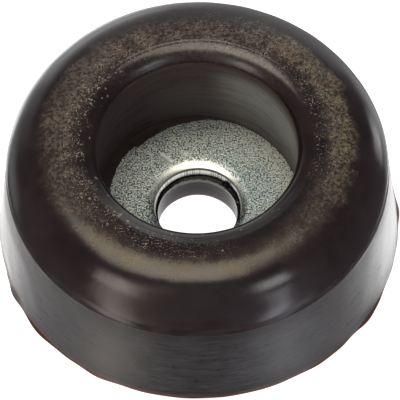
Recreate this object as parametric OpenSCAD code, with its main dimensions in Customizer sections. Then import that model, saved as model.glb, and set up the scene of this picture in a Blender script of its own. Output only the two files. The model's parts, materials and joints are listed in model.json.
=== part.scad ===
// Recessed rubber foot with a steel washer moulded into it.
// The foot stands on its wide mounting face, with the rounded crown and the screw recess up.
// A screw goes down through the recess: its head sits on the washer, and its shank passes
// the washer's hole and the hole in the rubber below.
// Origin: centre of the flat mounting face. +Z runs along the screw axis, towards the crown.

/* [Rubber body] */
// Diameter of the flat mounting face
base_d = 25; // [23.5:0.5:36]
// Height from the mounting face to the top of the crown
foot_h = 10; // [8.5:0.5:16]
// Taper of the wall from upright, in degrees
wall_draft = 5.7; // [1:0.1:9]
// Radius of the small round between the mounting face and the wall
base_edge_r = 0.2; // [0.1:0.05:0.6]
// Height of the rounded shoulder, from the crease at the top of the wall to the crown
shoulder_h = 3.5; // [3:0.1:4.5]
// Radius of the rounded shoulder
shoulder_r = 3.4; // [2.8:0.1:3.8]

/* [Recess] */
// Diameter of the recess where its wall meets the rounded lip
recess_d = 12.4; // [11:0.1:13.4]
// Diameter of the recess at its foot, on the washer
recess_foot_d = 12.7; // [11.5:0.1:14]
// Radius of the rounded lip between the crown and the recess wall
lip_r = 1; // [0.4:0.1:1.6]

/* [Steel washer] */
// Outer diameter of the washer, whose rim is held in the rubber
washer_d = 16; // [15:0.5:20]
// Thickness of the washer
washer_t = 0.75; // [0.5:0.05:1.5]
// Diameter of the washer's hole
washer_hole_d = 5.3; // [5:0.1:6.5]
// Width of the rolled edge that the punch left round the hole
roll_w = 0.45; // [0.2:0.05:0.7]
// Depth of that rolled edge
roll_h = 0.12; // [0.05:0.01:0.2]

/* [Screw hole] */
// Thickness of the rubber under the washer
floor_t = 1.95; // [1.2:0.05:3]
// Diameter of the hole through the rubber under the washer
screw_hole_d = 4.9; // [4:0.1:5]
// Height of the open step that carries the washer's hole on into the rubber under it
step_h = 0.1; // [0.05:0.05:0.4]

/* [Flash skin] */
// Thickness of the rubber skin that crept over the washer during moulding
skin_t = 0.12; // [0.05:0.01:0.3]
// Where the skin begins, as an angle from +X
skin_start = 74; // [60:1:80]
// Where the skin steps from its back lobe to its side lobe
skin_step = 132; // [110:1:150]
// Where the skin ends
skin_end = 208; // [180:1:230]
// Radius of the back lobe's edge, and how far and which way its centre is shifted
back_lobe_r = 6.1; // [6:0.05:6.2]
back_lobe_shift = 0.84; // [0.7:0.02:1]
back_lobe_dir = 7; // [0:1:15]
// Radius of the side lobe's edge, and how far and which way its centre is shifted
side_lobe_r = 5.8; // [5.6:0.05:6]
side_lobe_shift = 0.5; // [0.4:0.02:0.7]
side_lobe_dir = 53; // [40:1:60]

/* [Fit] */
// Radial room between the washer's rim and the rubber round it
rim_gap = 0.05; // [0.02:0.01:0.1]

/* [Hidden] */
$fn = 180;

// How far a cut runs past the surface that it opens, and how far one solid bites into the next
over = 1;
skin_bite = 0.3;

base_r = base_d / 2;
wall_h = foot_h - shoulder_h;
crease_r = base_r - wall_h * tan(wall_draft);
shoulder_z = foot_h - shoulder_r;
shoulder_x = crease_r - sqrt(pow(shoulder_r, 2) - pow(shoulder_h - shoulder_r, 2));

recess_r = recess_d / 2;
recess_foot_r = recess_foot_d / 2;
lip_x = recess_r + lip_r;
lip_z = foot_h - lip_r;

washer_r = washer_d / 2;
washer_hole_r = washer_hole_d / 2;
washer_top = floor_t + washer_t;
// The rolled edge is an arc, level with the top face where it starts and roll_h lower at the hole
roll_r = (pow(roll_w, 2) + pow(roll_h, 2)) / (2 * roll_h);
screw_hole_r = screw_hole_d / 2;

// Half profile of the tapered wall below the crease
module wall_profile() {
    polygon([[0, 0], [base_r, 0], [crease_r, wall_h], [0, wall_h]]);
}

// Half profile of the crown: an arc from the crease up to the flat top
module crown_profile() {
    translate([0, wall_h]) square([shoulder_x, foot_h - wall_h]);
    intersection() {
        translate([shoulder_x, shoulder_z]) circle(r = shoulder_r);
        translate([0, wall_h]) square([base_r + over, foot_h]);
    }
}

// Cutter that rounds the corner between the mounting face and the wall
module base_edge_cutter() {
    edge_x = base_r - base_edge_r * (1 + sin(wall_draft)) / cos(wall_draft);
    wall_x = edge_x + base_edge_r * cos(wall_draft);
    wall_z = base_edge_r * (1 + sin(wall_draft));
    difference() {
        polygon([[edge_x, -over], [base_r + over, -over], [base_r + over, wall_z],
                 [wall_x, wall_z], [edge_x, base_edge_r]]);
        translate([edge_x, base_edge_r]) circle(r = base_edge_r);
    }
}

// Cutter for the recess above the washer, with its rounded lip
module recess_cutter() {
    polygon([[0, washer_top], [recess_foot_r, washer_top], [recess_r, lip_z], [0, lip_z]]);
    translate([0, lip_z]) square([recess_r, lip_r + over]);
    difference() {
        translate([recess_r - over, lip_z]) square([lip_r + over, lip_r + over]);
        translate([lip_x, lip_z]) circle(r = lip_r);
        translate([lip_x, lip_z + lip_r]) square([over, over]);
    }
}

// Cutter for the slot that holds the washer, the open step under it and the screw hole
module washer_seat_cutter() {
    translate([0, floor_t]) square([washer_r + rim_gap, washer_t]);
    translate([0, floor_t - step_h]) square([washer_hole_r, step_h + washer_t]);
    translate([0, -over]) square([screw_hole_r, floor_t + over]);
}

// One lobe of the thin skin: a ring sector whose inner edge is an off-centre circle
module skin_lobe(from, to, edge_r, shift, dir) {
    difference() {
        translate([0, 0, washer_top]) rotate([0, 0, from]) rotate_extrude(angle = to - from)
            translate([washer_hole_r + roll_w, 0])
            square([recess_foot_r + skin_bite - washer_hole_r - roll_w, skin_t]);
        translate([shift * cos(dir), shift * sin(dir), washer_top - over])
            cylinder(r = edge_r, h = skin_t + 2 * over);
    }
}

module rubber_body() {
    color("#2b2625") {
        rotate_extrude() difference() {
            union() {
                wall_profile();
                crown_profile();
            }
            base_edge_cutter();
            recess_cutter();
            washer_seat_cutter();
        }
        skin_lobe(skin_start, skin_step, back_lobe_r, back_lobe_shift, back_lobe_dir);
        skin_lobe(skin_step, skin_end, side_lobe_r, side_lobe_shift, side_lobe_dir);
    }
}

module steel_washer() {
    color("#b3bab3") rotate_extrude() difference() {
        translate([washer_hole_r, floor_t]) square([washer_r - washer_hole_r, washer_t]);
        difference() {
            translate([washer_hole_r - over, washer_top - roll_h]) square([roll_w + over, roll_h + over]);
            translate([washer_hole_r + roll_w, washer_top - roll_r]) circle(r = roll_r);
            translate([washer_hole_r + roll_w, washer_top - roll_h]) square([over, roll_h]);
        }
    }
}

rubber_body();
steel_washer();
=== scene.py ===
# %% [markdown]
# # A screw-on rubber foot with a steel washer
# This file dresses one small part: a round rubber foot, 25 mm across, that a screw holds to the
# underside of a case. The screw's head sits deep inside it on a steel washer, which was put in the
# mould before the rubber. The solid model is already made and measured. Here it gets what a solid
# model lacks: the finish of each surface, the marks of the mould, and a studio to stand in.
#
# Everything is in the model's own frame, in metres, with the foot standing on its wide face.

# %% Load the measured model
import json
import math
from functools import partial
import bpy
import numpy as np
from mathutils import Matrix, Vector

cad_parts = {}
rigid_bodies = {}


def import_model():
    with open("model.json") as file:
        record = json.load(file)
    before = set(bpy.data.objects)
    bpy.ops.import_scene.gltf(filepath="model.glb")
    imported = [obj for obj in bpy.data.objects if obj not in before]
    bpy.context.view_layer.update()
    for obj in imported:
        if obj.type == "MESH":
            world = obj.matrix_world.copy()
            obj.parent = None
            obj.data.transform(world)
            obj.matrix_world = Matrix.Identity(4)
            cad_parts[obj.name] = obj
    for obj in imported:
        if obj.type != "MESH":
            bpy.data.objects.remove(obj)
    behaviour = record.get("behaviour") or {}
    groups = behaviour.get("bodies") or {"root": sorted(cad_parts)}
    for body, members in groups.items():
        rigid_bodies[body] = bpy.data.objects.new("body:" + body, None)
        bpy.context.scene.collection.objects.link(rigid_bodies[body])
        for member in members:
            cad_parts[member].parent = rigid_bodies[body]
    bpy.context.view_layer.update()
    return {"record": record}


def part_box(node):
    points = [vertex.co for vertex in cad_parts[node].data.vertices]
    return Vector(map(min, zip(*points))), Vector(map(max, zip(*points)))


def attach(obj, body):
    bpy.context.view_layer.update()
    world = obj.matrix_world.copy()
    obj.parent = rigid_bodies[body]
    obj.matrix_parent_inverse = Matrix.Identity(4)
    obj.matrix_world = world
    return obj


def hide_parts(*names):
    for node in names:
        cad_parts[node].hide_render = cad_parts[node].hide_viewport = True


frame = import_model()

# %% [markdown]
# ## Sizes
# Drawings of small parts are in millimetres, so the sizes here are too, and `MM` turns them into
# Blender's metres at the last moment. What the solid model can tell is read from it: its boxes give
# the outer sizes, and its two bore mounts give the hole radii. The rest are the drawing's sizes.

# %% Sizes read from the model
MM = 0.001
_, body_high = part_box("rubber_body")
washer_low, washer_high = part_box("steel_washer")
bores = {}
for mount in frame["record"]["mounts"]:
    if mount["kind"] == "bore":
        bores[mount["name"]] = mount["dims"]["r_mm"]

widest_r = body_high.x / MM
foot_h = body_high.z / MM
washer_r = washer_high.x / MM
washer_foot = washer_low.z / MM
washer_top = washer_high.z / MM
screw_hole_r = bores["screw_hole"]
washer_hole_r = bores["washer_hole"]
print(f"widest radius {widest_r:.2f}, height {foot_h:.2f}, washer top at {washer_top:.2f} mm")

# %% Sizes of the drawing that no box shows
wall_draft = math.radians(5.7)
base_edge_r = 0.2
shoulder_h = 3.5
shoulder_r = 3.4
recess_r = 6.2
recess_foot_r = 6.35
lip_across = 1.35
lip_down = 1.0
step_h = 0.1
rim_gap = 0.05

crease_z = foot_h - shoulder_h
edge_x = widest_r - base_edge_r
base_r = edge_x + base_edge_r * (1 + math.sin(wall_draft)) / math.cos(wall_draft)
crease_r = base_r - crease_z * math.tan(wall_draft)
shoulder_z = foot_h - shoulder_r
shoulder_x = crease_r - math.sqrt(shoulder_r ** 2 - (shoulder_h - shoulder_r) ** 2)
lip_x = recess_r + lip_across
lip_z = foot_h - lip_down
print(f"crease at radius {crease_r:.2f}, height {crease_z:.2f} mm")

# %% [markdown]
# ## Turning an outline into a piece
# A moulded foot is a body of revolution, so one half outline says nearly everything. Blender's
# Screw modifier could turn it, but then each dent and scratch would have to be worked in afterwards.
# Here the outline is turned in code instead: every point of it knows its zone and its outward
# normal, so a surface mark is just a small push along that normal, a function of height and angle.

# %% Helpers for an outline's stretches
def line(start, end, step):
    """Points from start up to, but not on, end, at most step apart."""
    count = max(1, math.ceil(math.dist(start, end) / step))
    t = np.arange(count) / count
    return np.outer(1 - t, start) + np.outer(t, end)


def arc(centre, radius, start_deg, end_deg, step, squash=1.0):
    """Points of an arc up to, but not on, its end. squash is its height over its width."""
    count = max(2, math.ceil(abs(math.radians(end_deg - start_deg)) * radius / step))
    angle = np.radians(start_deg + (end_deg - start_deg) * np.arange(count) / count)
    across = centre[0] + radius * np.cos(angle)
    up = centre[1] + squash * radius * np.sin(angle)
    return np.stack([across, up], 1)


class Outline:
    """A closed half outline: its points (radius, height), and the zone that each point belongs to."""

    def __init__(self):
        self.points = []
        self.zones = []

    def add(self, zone, points):
        self.points.extend(points)
        self.zones.extend([zone] * len(points))

    def arrays(self):
        """Radius, height and outward normal of each point, and the zone names."""
        at = np.array(self.points)
        along = np.roll(at, -1, 0) - np.roll(at, 1, 0)
        out = np.stack([along[:, 1], -along[:, 0]], 1)
        out /= np.linalg.norm(out, axis=1)[:, None]
        return at, out, np.array(self.zones)


print("points of a quarter arc, 1 mm in radius:", len(arc((0, 0), 1.0, 0, 90, 0.05)))


# %% A lathe that turns an outline
SHARP_EDGE = math.radians(35)


def add_piece(name, verts, faces, sharp_angle):
    """A smooth-shaded object in the scene, with edges sharper than sharp_angle kept sharp."""
    mesh = bpy.data.meshes.new(name)
    mesh.from_pydata(verts, [], faces)
    mesh.polygons.foreach_set("use_smooth", np.ones(len(faces), bool))
    mesh.set_sharp_from_angle(angle=sharp_angle)
    piece = bpy.data.objects.new(name, mesh)
    bpy.context.scene.collection.objects.link(piece)
    print(f"{name}: {len(verts)} points, {len(faces)} faces")
    return piece


def lathe(name, outline, segments, push, slots):
    """Turns the outline into a mesh. push(zone, radius, height, angle) gives two things in mm: the
    depth of the surface marks, and a sideways shift away from the axis. slots maps a zone to the
    index of its material."""
    at, out, zones = outline.arrays()
    angle = np.linspace(-math.pi, math.pi, segments, endpoint=False)
    marks = np.zeros((len(at), segments))
    shift = np.zeros((len(at), segments))
    for zone in dict.fromkeys(outline.zones):
        rows = zones == zone
        marks[rows], shift[rows] = push(zone, at[rows, 0][:, None], at[rows, 1][:, None], angle[None, :])
    radius = at[:, 0][:, None] + out[:, 0][:, None] * marks + shift
    height = at[:, 1][:, None] + out[:, 1][:, None] * marks
    verts = np.stack([radius * np.cos(angle), radius * np.sin(angle), height], 2).reshape(-1, 3) * MM

    row = np.arange(len(at))[:, None]
    col = np.arange(segments)[None, :]
    next_row = (row + 1) % len(at)
    next_col = (col + 1) % segments
    corners = [row * segments + col, row * segments + next_col,
               next_row * segments + next_col, next_row * segments + col]
    quads = np.stack(corners, 2).reshape(-1, 4)
    piece = add_piece(name, verts.tolist(), quads.tolist(), SHARP_EDGE)
    face_slots = np.repeat([slots.get(zone, 0) for zone in outline.zones], segments)
    piece.data.polygons.foreach_set("material_index", face_slots.astype(np.int32))
    return piece


# %% [markdown]
# ## Soft edges for marks
# Marks fade in and out along the circle and along the outline. A few small functions do all of it.

# %% Helpers for marks
def smooth(low, high, x):
    """0 below low, 1 above high, and an S curve between."""
    t = np.clip((x - low) / (high - low), 0, 1)
    return t * t * (3 - 2 * t)


def hump(middle, width, x):
    """A hump, 1 at middle and nearly 0 a width away."""
    return np.exp(-((x - middle) / (0.5 * width)) ** 2)


def turn_from(angle, middle_deg):
    """How far angle is from middle_deg, in degrees, the short way round."""
    return (np.degrees(angle) - middle_deg + 180) % 360 - 180


def hump_round(angle, middle_deg, width_deg):
    """A hump along the circle."""
    return hump(0, width_deg, turn_from(angle, middle_deg))


def one_side(angle, middle_deg, full_deg, none_deg):
    """1 as far as full_deg from middle_deg, fading to 0 at none_deg from it."""
    return smooth(none_deg, full_deg, abs(turn_from(angle, middle_deg)))


def ripple(angle, height, waves, seed):
    """A seeded smooth wave over angle and height, about -1 to 1."""
    rng = np.random.default_rng(seed)
    total = 0
    for _ in range(waves):
        around = rng.integers(2, 40)
        up = rng.uniform(-2.5, 2.5)
        phase = rng.uniform(0, 2 * math.pi)
        total = total + np.sin(around * angle + up * height + phase)
    return total / math.sqrt(waves)


sample = ripple(np.linspace(-math.pi, math.pi, 200), 0, 9, 3)
print(f"ripple: from {sample.min():.2f} to {sample.max():.2f}")


# %% [markdown]
# ## The rubber body
# The outline runs from the screw hole out along the mounting face, up the tapered wall to the
# crease, over the rounded shoulder and the flat crown, round the lip and down the recess. Below
# the washer's top it goes on through the slot that grips the washer, so the mesh is a true closed
# solid, and not a shell with a hole where nobody looks. The lip is a quarter of an ellipse, wider
# than it is deep, because a soft rubber edge sags inwards as it leaves the mould.

# %% Outline of the body
STEP = 0.115
FINE = 0.05
ROUND = 0.03
TURNED_WALL = 0.14
HIDDEN = 0.6
EDGE = 0.06
CREASE_END = 9.0
FLASH_H = 0.36
LIP_FOOT = 165.0

crease_turn = math.degrees(math.asin((crease_z - shoulder_z) / shoulder_r))
draft_deg = math.degrees(wall_draft)
wall_start = (edge_x + base_edge_r * math.cos(wall_draft), base_edge_r * (1 + math.sin(wall_draft)))
flash_top = (wall_start[0] - (FLASH_H - wall_start[1]) * math.tan(wall_draft), FLASH_H)
shoulder_centre = (shoulder_x, shoulder_z)
lip_centre = (lip_x, lip_z)
lip_squash = lip_down / lip_across
slot_r = washer_r + rim_gap
ledge_z = washer_foot - step_h
hole_edge_r = screw_hole_r + EDGE

body = Outline()
body.add("base", line((hole_edge_r, 0), (edge_x, 0), HIDDEN))
body.add("base_edge", arc((edge_x, base_edge_r), base_edge_r, -90, draft_deg, FINE))
body.add("flash", line(wall_start, flash_top, FINE))
body.add("wall", line(flash_top, (crease_r, crease_z), STEP))
body.add("crease", arc(shoulder_centre, shoulder_r, crease_turn, CREASE_END, STEP))
body.add("shoulder", arc(shoulder_centre, shoulder_r, CREASE_END, 90, STEP))
body.add("crown", line((shoulder_x, foot_h), (lip_x, foot_h), FINE))
body.add("lip", arc(lip_centre, lip_across, 90, LIP_FOOT, FINE, lip_squash))
body.add("lip_foot", arc(lip_centre, lip_across, LIP_FOOT, 180, FINE, lip_squash))
body.add("recess", line((recess_r, lip_z), (recess_foot_r, washer_top), TURNED_WALL))
body.add("slot", line((recess_foot_r, washer_top), (slot_r, washer_top), HIDDEN))
body.add("slot", line((slot_r, washer_top), (slot_r, washer_foot), HIDDEN))
body.add("slot", line((slot_r, washer_foot), (washer_hole_r, washer_foot), HIDDEN))
body.add("ledge", line((washer_hole_r, washer_foot), (washer_hole_r, ledge_z), FINE))
body.add("ledge", line((washer_hole_r, ledge_z), (hole_edge_r, ledge_z), FINE))
body.add("hole", arc((hole_edge_r, ledge_z - EDGE), EDGE, 90, 180, ROUND))
body.add("hole", line((screw_hole_r, ledge_z - EDGE), (screw_hole_r, EDGE), TURNED_WALL))
body.add("hole", arc((hole_edge_r, EDGE), EDGE, 180, 270, ROUND))
print("body outline:", len(body.points), "points")


# %% [markdown]
# ## Marks of the mould on the body
# No moulded part is perfect. A bead of flash stands proud all round the base, where the two halves
# of the mould met, with a fin, a torn tab and a small dent. Fine grooves run round the lip, from the
# turned insert that shaped it. The pin that shaped the screw hole stood a little off centre. Each is
# a tenth of a millimetre or two at most: too small for a drawing, but the light finds it. They could
# be painted as bump only, yet flash and grooves also change the outline.

# %% The screw hole's pin
PIN_SHIFT_X = -0.035
PIN_SHIFT_Y = -0.10
PIN_WEAR = 0.03
HOLE_FLASH = 0.06


def hole_shift(height, angle):
    """How far the wall of the screw hole stands from its drawn radius, away from the axis."""
    pin = PIN_SHIFT_X * np.cos(angle) + PIN_SHIFT_Y * np.sin(angle) + PIN_WEAR
    far_side = one_side(angle, 90, full_deg=30, none_deg=75)
    return pin - HOLE_FLASH * far_side * smooth(ledge_z, 0, height)


far_rim = hole_shift(0.0, math.pi / 2)
print(f"the screw hole's far rim is {far_rim:+.2f} mm off its drawn radius")


# %% The flash round the base
FLASH_BEAD = 0.05
FLASH_THICK = 0.11
THICK_LEFT_AT = -138
THICK_RIGHT_AT = -38
BEAD_TOP = 0.25
FIN_AT = 6.0
FIN_OUT = 0.19
FIN_TOP = 0.36
TAB_AT = -157.0
TAB_OUT = 0.07
TAB_TOP = 0.7
DENT_AT = -168.0
DENT_IN = 0.09
DENT_TOP = 1.9


def base_flash(height, angle):
    """How far the flash stands out round the base, with its fin and its tab, and less its dent."""
    ragged = np.clip(1 + 0.5 * ripple(angle, 0 * height, waves=12, seed=4), 0, 2)
    thick = hump_round(angle, THICK_LEFT_AT, width_deg=38) + hump_round(angle, THICK_RIGHT_AT, width_deg=32)
    bead = (FLASH_BEAD + FLASH_THICK * thick) * ragged * smooth(BEAD_TOP, 0.03, height)
    fin = hump_round(angle, FIN_AT, width_deg=15) * (0.8 + 0.2 * np.sin(31 * angle))
    tab = hump_round(angle, TAB_AT, width_deg=7) + 0.6 * hump_round(angle, TAB_AT - 7, width_deg=3)
    dent = hump_round(angle, DENT_AT, width_deg=14)
    out = bead + FIN_OUT * fin * smooth(FIN_TOP, 0.08, height)
    out = out + TAB_OUT * tab * smooth(TAB_TOP, 0.2, height)
    return out - DENT_IN * dent * smooth(DENT_TOP, 0.4, height)


around = np.linspace(-math.pi, math.pi, 720)
print(f"flash: from {base_flash(0.1, around).min():.2f} to {base_flash(0.1, around).max():.2f} mm")


# %% The rings of the insert
BACK_GROOVE_R = 7.44
BACK_GROOVE_IN = 0.022
RIDGE_R = 6.36
RIDGE_OUT = 0.07
DEEP_GROOVE_R = 6.84
DEEP_GROOVE_IN = 0.03
FAINT_GROOVE_R = 7.14
FAINT_GROOVE_IN = 0.012


def lip_rings(radius, angle):
    """The ridge and the grooves that the insert left round the lip, in mm."""
    back = one_side(angle, 75, full_deg=45, none_deg=80)
    front = one_side(angle, -90, full_deg=45, none_deg=85)
    wandering_r = BACK_GROOVE_R + 0.05 * np.sin(2.5 * angle)
    rings = -BACK_GROOVE_IN * back * hump(0, 0.09, radius - wandering_r)
    rings = rings + RIDGE_OUT * front * hump(RIDGE_R, 0.5, radius)
    rings = rings - DEEP_GROOVE_IN * front * hump(DEEP_GROOVE_R, 0.12, radius)
    return rings - FAINT_GROOVE_IN * front * hump(FAINT_GROOVE_R, 0.14, radius)


def recess_lines(height, angle):
    """The slanting lines that the insert left on the recess wall, in mm."""
    slant = height + 0.5 * np.sin(angle - 0.6)
    return 0.002 * np.sin(7.5 * slant) + 0.004 * ripple(angle, height, waves=8, seed=8)


print(f"deepest ring on the lip: {lip_rings(DEEP_GROOVE_R, -math.pi / 2):.3f} mm")

# %% All the marks on the body
WALL_WAVE = 0.006
SHOULDER_WAVE = 0.004
PIN_REACH = 6.0


def body_marks(zone, radius, height, angle):
    """Depth of the mould's marks, where out is plus, and the sideways shift, both in mm."""
    marks = np.zeros(np.broadcast(radius, angle).shape)
    shift = np.zeros(marks.shape)
    if zone == "wall":
        marks = marks + WALL_WAVE * ripple(angle, height, waves=9, seed=3)
    if zone in ("base_edge", "flash", "wall"):
        shift = shift + base_flash(height, angle)
    if zone in ("crease", "shoulder"):
        marks = marks + SHOULDER_WAVE * ripple(angle, height, waves=7, seed=5)
    if zone in ("crown", "lip"):
        marks = marks + lip_rings(radius, angle)
    if zone == "recess":
        marks = marks + recess_lines(height, angle)
    if zone == "hole":
        shift = shift + hole_shift(height, angle)
    if zone == "ledge":
        shift = shift + hole_shift(height, angle) * smooth(washer_hole_r, hole_edge_r, radius)
    if zone == "base":
        shift = shift + hole_shift(height, angle) * smooth(PIN_REACH, hole_edge_r, radius)
    return marks, shift


print("zones of the body:", list(dict.fromkeys(body.zones)))


# %% [markdown]
# ## The washer
# A stamped zinc-plated washer. The punch drew its top edge down into the hole, and that small
# dish is what catches the light, so it gets its own fine arc. The dish is wider on one side, where
# the punch leaned. The punch also left the hole a touch wider at the top than at the foot, so its
# wall leans back and shows as a bright band.

# %% Outline of the washer
DISH_X = 3.40
DISH_DEG = 26.0
DISH_WIDE_AT = 118.0
DISH_WIDE = 0.20
DISH_FADE_R = 5.2
BORE_LEAN = 0.10
PUNCH_WAVE = 0.003
FINE_WAVE = 0.002
FACE_STEP = 0.12
BRIGHT_STEP = 0.04

dish_end_r = washer_hole_r + BORE_LEAN
dish_r = (DISH_X - dish_end_r) / math.sin(math.radians(DISH_DEG))
dish_z = washer_top - dish_r * (1 - math.cos(math.radians(DISH_DEG)))

washer = Outline()
washer.add("foot", line((washer_hole_r, washer_foot), (washer_r, washer_foot), HIDDEN))
washer.add("rim", line((washer_r, washer_foot), (washer_r, washer_top), HIDDEN))
washer.add("face", line((washer_r, washer_top), (DISH_X, washer_top), FACE_STEP))
washer.add("dish", arc((DISH_X, washer_top - dish_r), dish_r, 90, 90 + DISH_DEG, BRIGHT_STEP))
washer.add("bore", line((dish_end_r, dish_z), (washer_hole_r, washer_foot), BRIGHT_STEP))
print(f"dished edge: {washer_top - dish_z:.2f} mm deep")


def washer_marks(zone, radius, height, angle):
    """The punch's marks on the washer, in mm: slow waves round the hole, and a dish wider on one side."""
    marks = np.zeros(np.broadcast(radius, angle).shape)
    shift = np.zeros(marks.shape)
    if zone in ("face", "dish", "bore"):
        marks = marks + PUNCH_WAVE * np.sin(3 * angle + 1) + FINE_WAVE * np.sin(7 * angle)
    if zone in ("face", "dish"):
        inside = smooth(dish_end_r, DISH_X, radius) * (1 - smooth(DISH_X, DISH_FADE_R, radius))
        shift = shift + DISH_WIDE * np.cos(angle - math.radians(DISH_WIDE_AT)) * inside
    return marks, shift


# %% [markdown]
# ## Node helpers
# Every finish below is made of nodes. Built by hand in the node editor they would be easy to see
# and hard to repeat, so they are written here as small functions. `node` adds one node and fills
# its inputs: a plain value is set on the socket, and another node's output is linked to it.

# %% Nodes and arithmetic
def node(tree, kind, inputs=None, **settings):
    """Adds a node. inputs maps a socket's name or place to a value or to another node's output."""
    made = tree.nodes.new(kind)
    for name, value in settings.items():
        setattr(made, name, value)
    fill(tree, made, inputs or {})
    return made


def fill(tree, made, inputs):
    """Sets or links a node's inputs."""
    for name, value in inputs.items():
        if isinstance(value, bpy.types.NodeSocket):
            tree.links.new(value, made.inputs[name])
        else:
            made.inputs[name].default_value = value


def calc(tree, operation, *values):
    """A Math node's output."""
    return node(tree, "ShaderNodeMath", dict(enumerate(values)), operation=operation).outputs[0]


def vector_calc(tree, operation, *values, output="Vector"):
    """A Vector Math node's output, which is called Value where it is one number."""
    return node(tree, "ShaderNodeVectorMath", dict(enumerate(values)), operation=operation).outputs[output]


def product(tree, first, *others):
    """The product of several values."""
    for other in others:
        first = calc(tree, "MULTIPLY", first, other)
    return first


def total(tree, first, *others):
    """The sum of several values."""
    for other in others:
        first = calc(tree, "ADD", first, other)
    return first


def try_out(label, use):
    """Prints how many nodes a helper makes, in a tree that is then thrown away."""
    trial = bpy.data.node_groups.new("trial", "ShaderNodeTree")
    use(trial)
    print(f"nodes for {label}: {len(trial.nodes)}")
    bpy.data.node_groups.remove(trial)


try_out("the product of three values", lambda tree: product(tree, 2.0, 3.0, 4.0))


# %% Shares of one value
def capped(tree, value):
    """The value, or 1 where it is more."""
    return calc(tree, "MINIMUM", value, 1.0)


def less(tree, value):
    """1 less the value."""
    return calc(tree, "SUBTRACT", 1.0, value)


def swing(tree, value, amount):
    """A noise that is about 0.5 all over, made to swing to both sides of 0, times amount."""
    return product(tree, calc(tree, "SUBTRACT", value, 0.5), amount)


def weigh(tree, first, first_share, second, second_share):
    """The sum of two values, each times its share."""
    return total(tree, product(tree, first, first_share), product(tree, second, second_share))


def fade(tree, value, low, high):
    """A Map Range node that goes smoothly from 0 at low to 1 at high."""
    return node(tree, "ShaderNodeMapRange", {"Value": value, "From Min": low, "From Max": high},
                interpolation_type="SMOOTHSTEP").outputs["Result"]


def between(tree, value, low, high):
    """A Map Range node that goes from low, where value is 0, to high, where it is 1."""
    inputs = {"Value": value, "To Min": low, "To Max": high}
    return node(tree, "ShaderNodeMapRange", inputs).outputs["Result"]


try_out("a fade that swings", lambda tree: swing(tree, fade(tree, 0.3, 0.0, 1.0), 0.2))


# %% Colours, noise and groups
def blend(tree, share, first, second):
    """A colour between first and second. A Mix node's colours are its sockets 6 and 7."""
    return node(tree, "ShaderNodeMix", {0: share, 6: first, 7: second}, data_type="RGBA").outputs[2]


def lay(tree, colour, over, *shares):
    """The colour with another one laid over it, by the product of the shares."""
    return blend(tree, product(tree, *shares), colour, over)


def noise(tree, point, scale, detail=2.0, roughness=0.5):
    """A Noise texture's value, with about scale blobs to the millimetre."""
    return node(tree, "ShaderNodeTexNoise", {"Vector": point, "Scale": scale, "Detail": detail,
                                             "Roughness": roughness}).outputs[0]


def new_group(name, inputs, outputs):
    """An empty shader node group with these sockets, its inputs' outputs, and its end node."""
    tree = bpy.data.node_groups.new(name, "ShaderNodeTree")
    for side, sockets in (("INPUT", inputs), ("OUTPUT", outputs)):
        for label, kind in sockets.items():
            tree.interface.new_socket(label, in_out=side, socket_type="NodeSocket" + kind)
    return tree, tree.nodes.new("NodeGroupInput").outputs, tree.nodes.new("NodeGroupOutput")


def place(tree, group, inputs=None):
    """Places a group in a tree, and gives its outputs."""
    return node(tree, "ShaderNodeGroup", inputs, node_tree=group).outputs


try_out("one colour laid over another", lambda tree: lay(tree, (0, 0, 0, 1), (1, 1, 1, 1), 0.5, 0.5))


# %% [markdown]
# ## Groups that say where on the foot a point lies
# The wear and the bloom on this foot depend on the place: how far out, how high, which side. A
# node group is a tool that is built once and placed in every material. These three find a point's
# radius and height, make a mask for one side of the foot, and make a mask for a ring. A side is
# named by its azimuth in degrees: 0 is the right side, 90 the far one, 180 the left and -90 the
# near one, as the camera sees them.

# %% Spot, side and ring
def make_spot_group():
    """Object coordinates in mm, the radius, the height, and the unit direction away from the axis."""
    sockets = {"Point": "Vector", "Radius": "Float", "Height": "Float", "Outward": "Vector"}
    tree, _, end = new_group("Spot on the foot", {}, sockets)
    coords = node(tree, "ShaderNodeTexCoord").outputs["Object"]
    point = node(tree, "ShaderNodeVectorMath", {0: coords, "Scale": 1 / MM}, operation="SCALE").outputs[0]
    split = node(tree, "ShaderNodeSeparateXYZ", {0: point}).outputs
    flat = node(tree, "ShaderNodeCombineXYZ", {"X": split["X"], "Y": split["Y"]}).outputs[0]
    radius = vector_calc(tree, "LENGTH", flat, output="Value")
    unit = vector_calc(tree, "NORMALIZE", flat)
    fill(tree, end, {"Point": point, "Radius": radius, "Height": split["Z"], "Outward": unit})
    return tree


def make_side_group():
    """1 on the side of the foot that faces Azimuth, fading to 0 a Spread of degrees away."""
    sockets = {"Outward": "Vector", "Azimuth": "Float", "Spread": "Float"}
    tree, given, end = new_group("Side of the foot", sockets, {"Mask": "Float"})
    turn = calc(tree, "RADIANS", given["Azimuth"])
    cosine = calc(tree, "COSINE", turn)
    sine = calc(tree, "SINE", turn)
    aim = node(tree, "ShaderNodeCombineXYZ", {"X": cosine, "Y": sine}).outputs[0]
    facing = vector_calc(tree, "DOT_PRODUCT", given["Outward"], aim, output="Value")
    limit = calc(tree, "COSINE", calc(tree, "RADIANS", given["Spread"]))
    fill(tree, end, {"Mask": fade(tree, facing, limit, 1.0)})
    return tree


def make_ring_group():
    """1 between the Inner and Outer radius, fading to 0 a Soft distance past them."""
    sockets = {"Radius": "Float", "Inner": "Float", "Outer": "Float", "Soft": "Float"}
    tree, given, end = new_group("Ring", sockets, {"Mask": "Float"})
    rise = fade(tree, given["Radius"], calc(tree, "SUBTRACT", given["Inner"], given["Soft"]), given["Inner"])
    fall = fade(tree, given["Radius"], calc(tree, "ADD", given["Outer"], given["Soft"]), given["Outer"])
    fill(tree, end, {"Mask": product(tree, rise, fall)})
    return tree


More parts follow.
